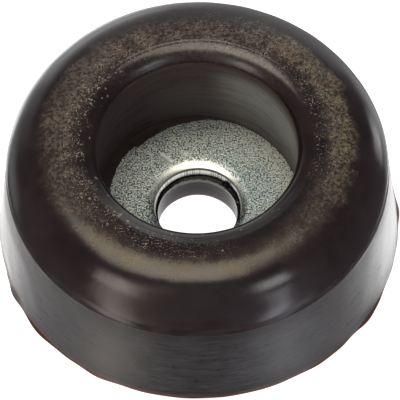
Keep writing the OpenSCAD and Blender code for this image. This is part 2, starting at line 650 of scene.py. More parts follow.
SPOT = make_spot_group()
SIDE = make_side_group()
RING = make_ring_group()
print("groups:", [group.name for group in bpy.data.node_groups])


# %% [markdown]
# ## Groups that draw small marks
# Three kinds of mark lie on the rubber: loose flecks, hairline fibres, and fine lines that run
# round the foot where the mould was turned on a lathe. Flecks are some of the cells of a Voronoi
# pattern. Fibres are the places where a slow noise crosses its middle value. Turned lines are a
# noise stretched along the circle.

# %% Flecks, fibres and turned marks
def make_fleck_group():
    """Round flecks, Size across, in a Share of the cells of a pattern with about Scale cells to the mm."""
    sockets = {"Point": "Vector", "Scale": "Float", "Size": "Float", "Share": "Float"}
    tree, given, end = new_group("Flecks", sockets, {"Mask": "Float"})
    bent = node(tree, "ShaderNodeTexNoise", {"Vector": given["Point"], "Scale": 2.5, "Detail": 2.0})
    shift = node(tree, "ShaderNodeVectorMath", {0: bent.outputs["Color"], "Scale": 0.35}, operation="SCALE")
    moved = vector_calc(tree, "ADD", given["Point"], shift.outputs[0])
    cells = node(tree, "ShaderNodeTexVoronoi", {"Vector": moved, "Scale": given["Scale"]})
    reach = calc(tree, "MULTIPLY", given["Size"], given["Scale"])
    dots = fade(tree, cells.outputs["Distance"], reach, calc(tree, "MULTIPLY", reach, 0.35))
    lot = node(tree, "ShaderNodeSeparateColor", {0: cells.outputs["Color"]})
    drawn = calc(tree, "LESS_THAN", lot.outputs[0], given["Share"])
    fill(tree, end, {"Mask": product(tree, dots, drawn)})
    return tree


def make_hair_group():
    """Thin winding lines, kept only in short pieces."""
    sockets = {"Point": "Vector", "Scale": "Float", "Width": "Float", "Share": "Float"}
    tree, given, end = new_group("Fibres", sockets, {"Mask": "Float"})
    slow = noise(tree, given["Point"], given["Scale"], detail=1.0, roughness=0.4)
    off = calc(tree, "ABSOLUTE", calc(tree, "SUBTRACT", slow, 0.5))
    thin = fade(tree, off, given["Width"], calc(tree, "MULTIPLY", given["Width"], 0.3))
    slower = calc(tree, "MULTIPLY", given["Scale"], 0.55)
    apart = noise(tree, given["Point"], slower, detail=1.0, roughness=0.4)
    limit = less(tree, given["Share"])
    kept = fade(tree, apart, limit, calc(tree, "ADD", limit, 0.04))
    fill(tree, end, {"Mask": product(tree, thin, kept)})
    return tree


def make_turned_group():
    """Lines round the axis: noise that is slow along the circle (Drift) and fine in height (Lines)."""
    sockets = {"Point": "Vector", "Lines": "Float", "Drift": "Float"}
    tree, given, end = new_group("Turned marks", sockets, {"Height": "Float"})
    sizes = {"X": given["Drift"], "Y": given["Drift"], "Z": given["Lines"]}
    stretch = node(tree, "ShaderNodeCombineXYZ", sizes).outputs[0]
    drawn = vector_calc(tree, "MULTIPLY", given["Point"], stretch)
    fill(tree, end, {"Height": noise(tree, drawn, scale=1.0, detail=4.0, roughness=0.6)})
    return tree


FLECKS = make_fleck_group()
HAIRS = make_hair_group()
TURNED = make_turned_group()
print("groups:", [group.name for group in bpy.data.node_groups])


# %% An empty material, and what is placed in it
def new_material(name):
    """A material, its tree and its Principled shader."""
    made = bpy.data.materials.new(name)
    made.use_nodes = True
    tree = made.node_tree
    tree.nodes.clear()
    shader = tree.nodes.new("ShaderNodeBsdfPrincipled")
    out = tree.nodes.new("ShaderNodeOutputMaterial")
    tree.links.new(shader.outputs[0], out.inputs["Surface"])
    return made, tree, shader


def bump(tree, height, distance_mm):
    """A Bump node whose height runs over distance_mm."""
    return node(tree, "ShaderNodeBump", {"Height": height, "Distance": distance_mm * MM}).outputs["Normal"]


def side_mask(tree, spot, azimuth, spread):
    """A mask for the side of the foot that faces azimuth."""
    return place(tree, SIDE, {"Outward": spot["Outward"], "Azimuth": azimuth, "Spread": spread})[0]


def ring_mask(tree, radius, inner, outer, soft):
    """A mask for a ring, or for a band of heights when a height is given as the radius."""
    return place(tree, RING, {"Radius": radius, "Inner": inner, "Outer": outer, "Soft": soft})[0]


def turned_lines(tree, spot, lines, drift):
    """Lines round the axis, lines of them to the millimetre, that drift slowly along the circle."""
    return place(tree, TURNED, {"Point": spot["Point"], "Lines": lines, "Drift": drift})[0]


print("a new material has", len(new_material("trial")[1].nodes), "nodes")
bpy.data.materials.remove(bpy.data.materials["trial"])

# %% [markdown]
# ## The crown: black rubber under a bloom of wax
# Old rubber blooms: wax and dust come up through it and dry to a film, tan in the light, thick on
# the shoulder where nothing rubs and thin on the worn flat. So this finish is two things laid over
# each other. Below is a smooth, nearly black rubber. Above it lies a map of how much bloom there
# is, built up from soft patches, each with its own side and ring. Painting the map by hand would
# look more alike from one side only. Patches made from radius and angle hold from every side.

# %% Patches of bloom
def bloom_patch(tree, spot, radius, facing, spread, inner, outer, soft, amount):
    """How much bloom lies on the side that faces one azimuth, between two radii."""
    side = side_mask(tree, spot, facing, spread)
    return product(tree, side, ring_mask(tree, radius, inner, outer, soft), amount)


def shoulder_bloom(tree, spot, radius):
    """Four amounts of bloom: at the back, on the right, in front, and everywhere but in front."""
    patch = partial(bloom_patch, tree, spot, radius)
    left = patch(facing=165.0, spread=80.0, inner=8.1, outer=9.1, soft=1.05, amount=0.138)
    back = patch(facing=88.0, spread=66.0, inner=7.45, outer=8.7, soft=0.8, amount=0.115)
    far_lip = patch(facing=80.0, spread=40.0, inner=7.2, outer=8.2, soft=0.5, amount=0.05)
    right = patch(facing=20.0, spread=58.0, inner=8.6, outer=9.3, soft=0.8, amount=0.21)
    near = patch(facing=-91.0, spread=74.0, inner=8.75, outer=9.3, soft=0.9, amount=0.09)
    thick = patch(facing=-101.0, spread=48.0, inner=9.05, outer=9.4, soft=0.6, amount=0.175)
    faint_right = patch(facing=-38.0, spread=30.0, inner=8.2, outer=9.2, soft=0.8, amount=0.06)
    faint_left = patch(facing=162.0, spread=24.0, inner=8.2, outer=9.4, soft=0.7, amount=0.055)
    sides = total(tree, left, back, far_lip, right, faint_right, faint_left)
    return back, right, total(tree, near, thick), sides


try_out("the shoulder's bloom", lambda tree: shoulder_bloom(tree, place(tree, SPOT), 9.0))

# %% [markdown]
# The bloom is not even. It is speckled: a coarse noise and a fine one raise and lower it, and less
# so on the near side, where it is thick. Where it begins, towards the lip, the wax has dried to
# separate crumbs, which are pale enough to see one by one.

# %% Grain and crumbs of the bloom
def bloom_grain(tree, point, near_side):
    """How much the speckles raise or lower the bloom, about 1."""
    fine = noise(tree, point, scale=8.0, detail=1.0, roughness=0.6)
    coarse = noise(tree, point, scale=4.2, detail=2.0, roughness=0.7)
    spotty = between(tree, near_side, 1.3, 0.15)
    uneven = swing(tree, fade(tree, coarse, 0.36, 0.64), spotty)
    return total(tree, between(tree, fade(tree, fine, 0.32, 0.68), 0.7, 1.3), uneven)


def wax_crumbs(tree, spot, radius):
    """A mask of crumbs of dried wax, where the bloom begins."""
    patch = partial(bloom_patch, tree, spot, radius)
    left = patch(facing=-170.0, spread=110.0, inner=7.3, outer=8.2, soft=0.5, amount=1.0)
    right = patch(facing=30.0, spread=70.0, inner=7.7, outer=9.4, soft=0.6, amount=0.6)
    back = patch(facing=100.0, spread=80.0, inner=7.3, outer=8.6, soft=0.5, amount=0.35)
    land = capped(tree, total(tree, left, right, back))
    specks = noise(tree, spot["Point"], scale=9.0, detail=2.0, roughness=0.75)
    clump = noise(tree, spot["Point"], scale=1.6, detail=3.0, roughness=0.6)
    crumbs = fade(tree, total(tree, specks, product(tree, clump, 0.3)), 0.735, 0.80)
    return product(tree, crumbs, land)


try_out("the mask of the crumbs", lambda tree: wax_crumbs(tree, place(tree, SPOT), 8.0))

# %% The lip's dust, flakes, fibres and painted highlight
FLAKE = (0.50, 0.43, 0.36, 1)
LIP_DUST_AND_HIGHLIGHT = (0.30, 0.28, 0.25, 1)


def dress_lip(tree, spot, colour, grain):
    """The colour with what lies loose on the lip: dust at the back, flakes on the left, a few fibres, and a
    tan ring that is partly bloom, partly a painted highlight.
    """
    point = spot["Point"]
    patch = partial(bloom_patch, tree, spot, spot["Radius"])
    # A narrow tan ring at the back of the lip: partly bloom, partly a painted highlight of the softbox.
    tan = patch(facing=66.0, spread=36.0, inner=6.95, outer=7.3, soft=0.15, amount=0.16)
    dust = patch(facing=85.0, spread=70.0, inner=6.2, outer=7.2, soft=0.2, amount=0.04)
    colour = lay(tree, colour, LIP_DUST_AND_HIGHLIGHT, total(tree, tan, dust), grain)
    flakes = place(tree, FLECKS, {"Point": point, "Scale": 2.6, "Size": 0.10, "Share": 0.4})[0]
    flaked = patch(facing=-150.0, spread=125.0, inner=6.7, outer=8.0, soft=0.35, amount=0.8)
    colour = lay(tree, colour, FLAKE, flakes, flaked)
    hairs = place(tree, HAIRS, {"Point": point, "Scale": 1.1, "Width": 0.008, "Share": 0.41})[0]
    threads = patch(facing=175.0, spread=60.0, inner=6.7, outer=7.9, soft=0.3, amount=0.5)
    return lay(tree, colour, FLAKE, hairs, threads)


try_out("what lies on the lip", lambda tree: dress_lip(tree, place(tree, SPOT), FLAKE, 1.0))


# %% [markdown]
# Gloss says as much as colour here. Bare rubber is glossy and bloom is dull, so the same map that
# tints the crown also roughens it. Two places at the lip have been polished by handling, and get
# a clear coat over the rubber: the near edge, and a wiped spot on the left of it.

# %% Crown rubber
BLACK = (0.0150, 0.0098, 0.0112, 1)
WORN_BLACK = (0.0240, 0.0165, 0.0178, 1)
BROWN_BLOOM = (0.328, 0.254, 0.182, 1)
OLIVE_BLOOM = (0.34, 0.280, 0.150, 1)
MAUVE_BLOOM = (0.32, 0.246, 0.200, 1)
CRUMB = (0.61, 0.53, 0.44, 1)


def make_crown_rubber():
    made, tree, shader = new_material("crown_rubber")
    spot = place(tree, SPOT)
    point = spot["Point"]
    near_side = side_mask(tree, spot, azimuth=-95.0, spread=75.0)
    ragged = noise(tree, point, scale=1.1, detail=3.0, roughness=0.55)
    wander = swing(tree, ragged, between(tree, near_side, 1.5, 0.6))
    radius = total(tree, spot["Radius"], wander)
    back, right, front, sides = shoulder_bloom(tree, spot, radius)
    drifts = noise(tree, point, scale=0.8, detail=4.0, roughness=0.6)
    cloud = between(tree, fade(tree, drifts, 0.3, 0.7), 0.55, 1.5)
    grain = bloom_grain(tree, point, near_side)
    haze = product(tree, total(tree, sides, front), cloud, grain)
    crumbs = wax_crumbs(tree, spot, radius)

    # the colours, from the rubber up
    wear = noise(tree, point, scale=0.5, detail=4.0, roughness=0.6)
    black = blend(tree, fade(tree, wear, 0.3, 0.7), BLACK, WORN_BLACK)
    tint = blend(tree, capped(tree, product(tree, back, 6.0)), BROWN_BLOOM, MAUVE_BLOOM)
    lush = fade(tree, total(tree, right, front), 0.02, 0.16)
    tint = lay(tree, tint, OLIVE_BLOOM, fade(tree, radius, 8.3, 9.1), lush)
    colour = lay(tree, black, tint, capped(tree, haze))
    colour = lay(tree, colour, CRUMB, crumbs, 0.85)
    colour = dress_lip(tree, spot, colour, grain)

    # the gloss
    dusty = capped(tree, product(tree, haze, 3.0))
    smudge = noise(tree, point, scale=0.7, detail=4.0, roughness=0.65)
    far_side = side_mask(tree, spot, azimuth=90.0, spread=75.0)
    far_edge = product(tree, far_side, fade(tree, spot["Radius"], 6.9, 6.65), 0.1)
    roughness = total(tree, 0.07, product(tree, smudge, 0.2), product(tree, dusty, 0.22), far_edge)
    handled = side_mask(tree, spot, azimuth=-95.0, spread=85.0)
    edge = product(tree, handled, fade(tree, spot["Radius"], 6.95, 6.75), 0.6)
    thumbed = side_mask(tree, spot, azimuth=-121.0, spread=30.0)
    wiped = product(tree, thumbed, fade(tree, spot["Radius"], 7.35, 7.1), 0.9)
    normal = bump(tree, total(tree, crumbs, product(tree, smudge, 0.5)), 0.02)
    fill(tree, shader, {"Base Color": colour, "Roughness": roughness, "Normal": normal, "IOR": 1.5,
                        "Coat Weight": calc(tree, "MAXIMUM", edge, wiped), "Coat Roughness": 0.15})
    print("crown_rubber:", len(tree.nodes), "nodes")
    return made


crown_rubber = make_crown_rubber()

# %% [markdown]
# ## The wall: handled rubber
# The wall has been held and wiped. It carries a thin smoky film, with darker streaks that run
# nearly round the foot, thinned to a band of painted shade just under the crease, and its lowest
# half millimetre turns red-brown. Two places in front have been rubbed cleaner. A film like this
# shows most where the light grazes it, which is what the Principled shader's sheen and coat are
# for: sheen brightens the rim, and the coat's weight follows the streaks.

# %% Streaks on the wall
def wall_marks(tree, spot):
    """Three maps of the wall: where it is worn, how its film is streaked, and the relief of its marks."""
    point = spot["Point"]
    lines = turned_lines(tree, spot, lines=4.0, drift=0.35)
    fine_lines = turned_lines(tree, spot, lines=11.0, drift=1.3)
    smudge = noise(tree, point, scale=0.35, detail=5.0, roughness=0.6)
    mottle = fade(tree, noise(tree, point, scale=1.6, detail=4.0, roughness=0.7), 0.3, 0.7)
    streaks = fade(tree, weigh(tree, lines, 0.5, fine_lines, 0.5), 0.34, 0.62)
    texture = weigh(tree, streaks, 0.65, mottle, 0.35)
    relief = total(tree, weigh(tree, fine_lines, 0.5, lines, 0.5), smudge)
    worn = fade(tree, weigh(tree, smudge, 0.7, lines, 0.3), 0.38, 0.62)
    return worn, texture, relief


def rubbed_clean(tree, spot):
    """1 minus what handling has rubbed off the wall, on two sides in front."""
    left = product(tree, side_mask(tree, spot, azimuth=-118.0, spread=36.0), 0.6)
    right = product(tree, side_mask(tree, spot, azimuth=-50.0, spread=34.0), 0.3)
    return less(tree, total(tree, left, right))


try_out("the wall's marks", lambda tree: wall_marks(tree, place(tree, SPOT)))

# %% Wall rubber
WALL_DARK = (0.0045, 0.0020, 0.0028, 1)
WALL_WORN = (0.0125, 0.0085, 0.0100, 1)
SMOKE = (0.018, 0.018, 0.023, 1)
RED_BROWN_FOOT = (0.100, 0.030, 0.017, 1)
SHEEN_TINT = (0.97, 0.98, 1.0, 1)


def make_wall_rubber():
    made, tree, shader = new_material("wall_rubber")
    spot = place(tree, SPOT)
    height = spot["Height"]
    worn, texture, relief = wall_marks(tree, spot)
    colour = blend(tree, worn, WALL_DARK, WALL_WORN)
    # Less smoky film just under the crease, so the wall's top is darker: a band of painted shade along the
    # crease.
    crease_shaded_film = between(tree, fade(tree, height, 6.4, 5.5), 0.15, 0.9)
    colour = lay(tree, colour, SMOKE, texture, texture, crease_shaded_film)
    # The lowest half millimetre of the wall turns red-brown.
    colour = lay(tree, colour, RED_BROWN_FOOT, fade(tree, height, 0.55, 0.12), 0.9)

    dull = product(tree, side_mask(tree, spot, azimuth=180.0, spread=80.0), fade(tree, height, 4.0, 5.6))
    roughness = total(tree, 0.23, product(tree, texture, 0.24), product(tree, dull, 0.3))
    clear = product(tree, between(tree, dull, 1.0, 0.1), rubbed_clean(tree, spot))
    half_way_up = ring_mask(tree, height, inner=2.2, outer=4.6, soft=1.8)
    film = product(tree, half_way_up, clear, between(tree, texture, 0.3, 1.1))
    fill(tree, shader, {"Base Color": colour, "Roughness": roughness,
                        "Normal": bump(tree, relief, distance_mm=0.03),
                        "Sheen Weight": 1.0, "Sheen Roughness": 0.32, "Sheen Tint": SHEEN_TINT,
                        "Coat Weight": film, "Coat Roughness": 0.36})
    print("wall_rubber:", len(tree.nodes), "nodes")
    return made


wall_rubber = make_wall_rubber()

# %% [markdown]
# ## The strip over the crease
# Just over the crease the shoulder never touches anything, and stays matt. It could share the
# crown's material, but a dull strip beside a glossy one needs another specular level, and that is
# a plain number in this shader. So the strip gets a material of its own. In front, two stretches of
# it still shine.

# %% Crease rubber
CREASE_DARK = (0.0160, 0.0105, 0.0110, 1)
CREASE_WORN = (0.030, 0.020, 0.021, 1)


def make_crease_rubber():
    made, tree, shader = new_material("crease_rubber")
    spot = place(tree, SPOT)
    smudge = noise(tree, spot["Point"], scale=0.8, detail=4.0, roughness=0.6)
    colour = blend(tree, fade(tree, smudge, 0.35, 0.65), CREASE_DARK, CREASE_WORN)
    left = side_mask(tree, spot, azimuth=-120.0, spread=24.0)
    right = side_mask(tree, spot, azimuth=-60.0, spread=22.0)
    fill(tree, shader, {"Base Color": colour, "Roughness": 0.6, "Specular IOR Level": 0.08,
                        "Coat Weight": product(tree, total(tree, left, right), 0.7), "Coat Roughness": 0.12,
                        "Normal": bump(tree, smudge, distance_mm=0.02)})
    print("crease_rubber:", len(tree.nodes), "nodes")
    return made


crease_rubber = make_crease_rubber()

# %% [markdown]
# ## The recess
# Inside the recess the rubber is dull and a little purple, with turned lines from the insert that
# shaped it. A pale patch of painted light lies on one side, from the middle of the wall up to under
# the lip, where the left window reaches in, with a fainter one at the back; the corner over the washer is
# painted black as shade.

# %% Recess rubber
RECESS_DARK = (0.045, 0.0290, 0.0295, 1)
RECESS_WORN = (0.080, 0.0560, 0.0565, 1)
RECESS_LIT_GREY = (0.300, 0.310, 0.300, 1)
CORNER_SHADE = (0.004, 0.002, 0.002, 1)


def recess_painted_light(tree, spot, streaks):
    """How much painted light lies in the recess: streaky on the right, where the left window reaches in, and
    a faint band at the back.
    """
    height = spot["Height"]
    window_lit_side = side_mask(tree, spot, azimuth=38.0, spread=48.0)
    low = fade(tree, height, 2.0, 7.0)
    high = fade(tree, height, 9.2, 7.4)
    smudge = noise(tree, spot["Point"], scale=0.6, detail=4.0, roughness=0.6)
    uneven = total(tree, between(tree, streaks, 0.5, 1.0), product(tree, smudge, 0.5))
    back_side = side_mask(tree, spot, azimuth=88.0, spread=36.0)
    back_lit_band = product(tree, back_side, ring_mask(tree, height, inner=4.4, outer=5.4, soft=2.0), 0.13)
    return total(tree, product(tree, window_lit_side, low, high, uneven), back_lit_band)


def make_recess_rubber():
    made, tree, shader = new_material("recess_rubber")
    spot = place(tree, SPOT)
    lines = turned_lines(tree, spot, lines=3.5, drift=0.3)
    fine_lines = turned_lines(tree, spot, lines=9.0, drift=1.0)
    streaks = fade(tree, weigh(tree, lines, 0.6, fine_lines, 0.4), 0.34, 0.64)
    colour = blend(tree, streaks, RECESS_DARK, RECESS_WORN)
    # Pale grey laid over the wall: painted light from the left window on one side, and a fainter painted lit
    # band at the back.
    colour = lay(tree, colour, RECESS_LIT_GREY, recess_painted_light(tree, spot, streaks))
    # The corner over the washer is painted nearly black: painted shade where the recess wall meets the
    # washer.
    corner_shade = fade(tree, spot["Height"], washer_top + 0.3, washer_top + 0.02)
    colour = lay(tree, colour, CORNER_SHADE, corner_shade, 0.8)
    fill(tree, shader, {"Base Color": colour, "Roughness": 0.5, "Specular IOR Level": 0.15,
                        "Normal": bump(tree, streaks, distance_mm=0.012)})
    print("recess_rubber:", len(tree.nodes), "nodes")
    return made


recess_rubber = make_recess_rubber()

# %% [markdown]
# ## The screw hole
# The hole under the washer was shaped by a polished pin, so its wall is the smoothest rubber of
# all. It is painted black as shade at the ledge and high up under the washer, has one soft pale band
# of painted highlight just below the ledge's edge, and turns purple near the bench.

# %% Hole rubber
HOLE_SHADE = (0.006, 0.0040, 0.0050, 1)
HOLE_EDGE_HIGHLIGHT = (0.300, 0.285, 0.270, 1)
HOLE_PURPLE = (0.070, 0.040, 0.050, 1)
BAND_TOP = 1.82
BAND_FOOT = 1.50


def make_hole_rubber():
    made, tree, shader = new_material("hole_rubber")
    spot = place(tree, SPOT)
    height = spot["Height"]
    lines = turned_lines(tree, spot, lines=6.0, drift=0.8)
    ragged = noise(tree, spot["Point"], scale=3.0, detail=2.0, roughness=0.6)
    wavy = total(tree, height, swing(tree, ragged, 0.3))
    # Black high up is painted shade under the washer and on the ledge; towards the bench it turns purple.
    colour = blend(tree, fade(tree, height, 0.9, 0.1), HOLE_SHADE, HOLE_PURPLE)
    under = fade(tree, wavy, BAND_TOP, BAND_TOP - 0.06)
    over = fade(tree, wavy, BAND_FOOT - 0.1, BAND_FOOT + 0.1)
    band = product(tree, under, over)
    # A soft pale band just below the ledge's edge: a painted highlight.
    colour = lay(tree, colour, HOLE_EDGE_HIGHLIGHT, band, between(tree, lines, 0.5, 1.2))
    fill(tree, shader, {"Base Color": colour, "Roughness": 0.22, "Specular IOR Level": 0.25,
                        "Normal": bump(tree, lines, distance_mm=0.01)})
    print("hole_rubber:", len(tree.nodes), "nodes")
    return made


hole_rubber = make_hole_rubber()

# %% [markdown]
# ## Zinc plate
# Plated zinc is metal with a fine crystal grain. Under a broad light the grain breaks up into
# dark pits and bright sparks, a tenth of a millimetre or so across. Here one noise gives both: its
# low values are the pits and its high values the sparks. Its hue drifts from tan to grey-green, and
# on one side, far from the hole, a paler colour paints in light that the plate catches there.

# %% Grain of the zinc
ZINC_TEAL = (0.35, 0.45, 0.46, 1)
ZINC_TAN = (0.50, 0.56, 0.50, 1)
PATINA = (0.58, 0.72, 0.76, 1)
ZINC_RIM_LIGHT = (0.90, 0.94, 0.82, 1)
PIT = (0.012, 0.020, 0.020, 1)
SPARK = (1.0, 1.0, 1.0, 1)


def grained_zinc(tree, spot, fine):
    """The colour of the plate: its drifting hue, a side made paler as painted light, and the pits and sparks
    of fine.
    """
    point = spot["Point"]
    tan_side = side_mask(tree, spot, azimuth=115.0, spread=110.0)
    slow = noise(tree, point, scale=0.7, detail=4.0, roughness=0.65)
    drift = total(tree, slow, product(tree, tan_side, 0.15))
    patina = fade(tree, noise(tree, point, scale=2.2, detail=3.0, roughness=0.6), 0.35, 0.65)
    colour = blend(tree, fade(tree, drift, 0.35, 0.75), ZINC_TEAL, ZINC_TAN)
    colour = lay(tree, colour, PATINA, patina, 0.4)
    # A pool of painted light on the right of the plate, out towards the recess wall.
    rim_lit_side = side_mask(tree, spot, azimuth=38.0, spread=48.0)
    rim_light = product(tree, rim_lit_side, fade(tree, spot["Radius"], 4.7, 5.7))
    colour = lay(tree, colour, ZINC_RIM_LIGHT, rim_light, 0.5)
    clean_side = side_mask(tree, spot, azimuth=20.0, spread=120.0)
    filled = total(tree, fine, product(tree, patina, 0.07), product(tree, clean_side, 0.03))
    colour = lay(tree, colour, PIT, fade(tree, filled, 0.54, 0.44), 0.93)
    return lay(tree, colour, SPARK, fade(tree, fine, 0.55, 0.64), 0.75)


try_out("the zinc's grain", lambda tree: grained_zinc(tree, place(tree, SPOT), 0.5))

# %% [markdown]
# A driver or a rag has left a broad wiped strip at the back of the plate, where the grain is dulled,
# and a bright dab beside it; along the strip runs a narrow painted highlight of a shallow dent. Each
# is a straight stroke, so a mask needs only where it starts, which way it runs and how big it is.

# %% Wipe marks
WIPED = (0.36, 0.42, 0.41, 1)
# Pale colour of the dab, and of the dent's painted highlight.
SMUDGE_AND_DENT_HIGHLIGHT = (0.80, 0.86, 0.84, 1)
STROKE_WAY = -43.0
STROKE_LENGTH = 0.95
DAB_WAY = 80.0


def straight_stroke(tree, point, start, direction, length, half_width):
    """1 along a straight stroke: where it starts in mm, which way it runs in degrees, and its size."""
    turn = math.radians(direction)
    moved = vector_calc(tree, "SUBTRACT", point, (*start, 0.0))
    ahead = (math.cos(turn), math.sin(turn), 0.0)
    aside = (-math.sin(turn), math.cos(turn), 0.0)
    way = vector_calc(tree, "DOT_PRODUCT", moved, ahead, output="Value")
    off = calc(tree, "ABSOLUTE", vector_calc(tree, "DOT_PRODUCT", moved, aside, output="Value"))
    ends = product(tree, fade(tree, way, -0.12, 0.08), fade(tree, way, length + 0.12, length - 0.08))
    return product(tree, ends, fade(tree, off, half_width, half_width * 0.4))


def wipe_zinc(tree, point, colour):
    """The plate's colour with its wipe mark, its dab and a dent's painted highlight."""
    wiped = straight_stroke(tree, point, (-2.40, 3.45), STROKE_WAY, STROKE_LENGTH, half_width=0.42)
    # A narrow painted highlight along the strip's edge, where a shallow dent catches the light.
    dent_highlight = straight_stroke(tree, point, (-2.26, 3.80), STROKE_WAY, STROKE_LENGTH, half_width=0.13)
    dab = straight_stroke(tree, point, (-0.72, 3.55), DAB_WAY, length=0.32, half_width=0.24)
    colour = lay(tree, colour, WIPED, wiped, 0.55)
    return lay(tree, colour, SMUDGE_AND_DENT_HIGHLIGHT, calc(tree, "MAXIMUM", dent_highlight, dab), 0.85)


try_out("a wipe mark", lambda tree: straight_stroke(tree, (0, 0, 0), (0, 0), STROKE_WAY, STROKE_LENGTH, 0.4))

# %% [markdown]
# The drawn edge of the hole is rubbed bright, further out on the side where the dish is wide. The
# wall of the hole is where the punch broke through: bright, with dark marks. Its sides are painted
# brighter as painted reflection, a line of painted dark reflection runs along its top, and a ragged band of
# painted shade lies at its foot.

# %% The edge and the wall of the washer's hole
POLISHED = (0.65, 0.66, 0.62, 1)
BORE_PAINTED_BRIGHT = (0.96, 0.97, 0.93, 1)
DARK_MARKS_AND_REFLECTION = (0.02, 0.02, 0.018, 1)
BORE_FOOT_SHADE = (0.004, 0.003, 0.003, 1)
POLISH_R = 3.08
SHADE_TOP = 2.10


def polished_edge(tree, spot):
    """1 on the rubbed edge of the hole, which is as lopsided as the dish."""
    wide = product(tree, side_mask(tree, spot, azimuth=DISH_WIDE_AT, spread=85.0), -DISH_WIDE)
    edge = fade(tree, total(tree, spot["Radius"], wide), POLISH_R, POLISH_R - 0.16)
    return product(tree, edge, side_mask(tree, spot, azimuth=85.0, spread=105.0))


def dress_bore(tree, spot, colour, bore):
    """The colour with the hole's bright wall, painted brighter on the sides as painted reflection, its dark
    marks, and a painted dark reflection along its top.
    """
    # The sides of the hole's wall get a brighter colour than the back: painted reflection of the bench.
    bore_painted_sides = blend(tree, side_mask(tree, spot, azimuth=90.0, spread=75.0), BORE_PAINTED_BRIGHT, POLISHED)
    colour = lay(tree, colour, bore_painted_sides, bore)
    marks = noise(tree, spot["Outward"], scale=45.0, detail=2.0, roughness=0.6)
    colour = lay(tree, colour, DARK_MARKS_AND_REFLECTION, bore, fade(tree, marks, 0.52, 0.38), 0.7)
    # A dark band along the top of the hole's wall: a painted dark reflection of the rubber.
    foot = fade(tree, spot["Height"], dish_z - 0.24, dish_z - 0.17)
    return lay(tree, colour, DARK_MARKS_AND_REFLECTION, bore, foot, 0.92)


def bore_foot_shade(tree, spot):
    """1 in a ragged band of painted shade at the foot of the hole's wall, and hardly at all on the far side.
    """
    # A ragged band of painted shade at the foot of the hole's wall, over the gap to the rubber below.
    open_side = product(tree, side_mask(tree, spot, azimuth=90.0, spread=55.0), 0.35)
    wave = swing(tree, noise(tree, spot["Point"], scale=1.8, detail=2.0, roughness=0.6), 0.7)
    return fade(tree, total(tree, spot["Height"], wave, open_side), SHADE_TOP, SHADE_TOP - 0.08)


try_out("the polished edge", lambda tree: polished_edge(tree, place(tree, SPOT)))


# %% Zinc plated steel
def make_zinc():
    made, tree, shader = new_material("zinc_plate")
    spot = place(tree, SPOT)
    fine = noise(tree, spot["Point"], scale=10.0, detail=1.0, roughness=0.6)
    colour = grained_zinc(tree, spot, fine)
    colour = wipe_zinc(tree, spot["Point"], colour)
    rubbed = polished_edge(tree, spot)
    colour = lay(tree, colour, POLISHED, rubbed)
    bore = fade(tree, spot["Height"], dish_z + 0.01, dish_z - 0.02)
    colour = dress_bore(tree, spot, colour, bore)
    # Painted shade at the foot of the hole's wall.
    colour = lay(tree, colour, BORE_FOOT_SHADE, bore_foot_shade(tree, spot))
    smoothed = calc(tree, "MAXIMUM", rubbed, bore)
    relief = product(tree, fine, less(tree, smoothed))
    fill(tree, shader, {"Base Color": colour, "Metallic": 1.0,
                        "Roughness": between(tree, smoothed, 0.42, 0.30),
                        "Normal": bump(tree, relief, distance_mm=0.03)})
    print("zinc_plate:", len(tree.nodes), "nodes")
    return made


zinc_plate = make_zinc()

# %% [markdown]
# ## Turning the two pieces
# Now each outline is turned, dressed, and put in the solid model's place.

# %% Make the body and the washer
SEGMENTS = 350
RUBBERS = (crown_rubber, wall_rubber, recess_rubber, hole_rubber, crease_rubber)
BODY_SLOTS = {"base": 1, "base_edge": 1, "flash": 1, "wall": 1, "recess": 2, "lip_foot": 2, "slot": 2,
              "ledge": 3, "hole": 3, "crease": 4}
rubber = lathe("rubber_foot_body", body, SEGMENTS, body_marks, BODY_SLOTS)
for material in RUBBERS:
    rubber.data.materials.append(material)
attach(rubber, "root")
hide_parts("rubber_body")

ring = lathe("zinc_washer", washer, SEGMENTS, washer_marks, {})
ring.data.materials.append(zinc_plate)
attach(ring, "root")
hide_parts("steel_washer")


# %% [markdown]
# ## The flash skin
# The mould pressed the washer against a steel pin. Where the pin did not quite seal, a thin skin of
# rubber crept in over the washer. It is a sheet with a rounded, wandering edge. A cut disc would
# have a knife edge and no thickness, so it is laid out as rows of points instead: each row starts
# at that edge, runs over the top to the recess wall, and comes back underneath.

# %% The skin's edge
SKIN_FROM = 70.0
SKIN_STEP = 132.0
SKIN_TO = 214.0
STEP_HALF = 1.5
TAPER = 7
INTO_WALL = 0.05
BACK_LOBE = {"radius": 6.1, "shift": 0.84, "direction": 7}
SIDE_LOBE = {"radius": 5.8, "shift": 0.5, "direction": 53}


def lobe_edge(angle_deg, radius, shift, direction):
    """Radius, from the foot's axis, of a circle whose centre is shifted off that axis."""
    turn = math.radians(angle_deg - direction)
    return shift * math.cos(turn) + math.sqrt(radius ** 2 - (shift * math.sin(turn)) ** 2)


def skin_edge(angle_deg):
    """Radius of the skin's inner edge: two lobes with a short step between them, and a taper."""
    back = lobe_edge(angle_deg, **BACK_LOBE)
    side = lobe_edge(angle_deg, **SIDE_LOBE)
    step = float(smooth(SKIN_STEP - STEP_HALF, SKIN_STEP + STEP_HALF, angle_deg))
    edge = back + (side - back) * step
    closed = float(smooth(SKIN_TO, SKIN_TO - TAPER, angle_deg))
    waver = 0.02 * math.sin(0.31 * angle_deg) + 0.012 * math.sin(0.83 * angle_deg + 1)
    waver += 0.014 * math.sin(2.1 * angle_deg + 2)
    return min(recess_foot_r + INTO_WALL, recess_foot_r + (edge + waver - recess_foot_r) * closed)


for label, angle_deg in (("back", 110), ("side", 160)):
    print(f"the {label} lobe reaches {recess_foot_r - skin_edge(angle_deg):.2f} mm in from the wall")


# %% The skin's cross section
SKIN_T = 0.12
SKIN_BURIED = 0.08
SKIN_SWELL = 0.35
ROUND_POINTS = 5
TOP_POINTS = 8


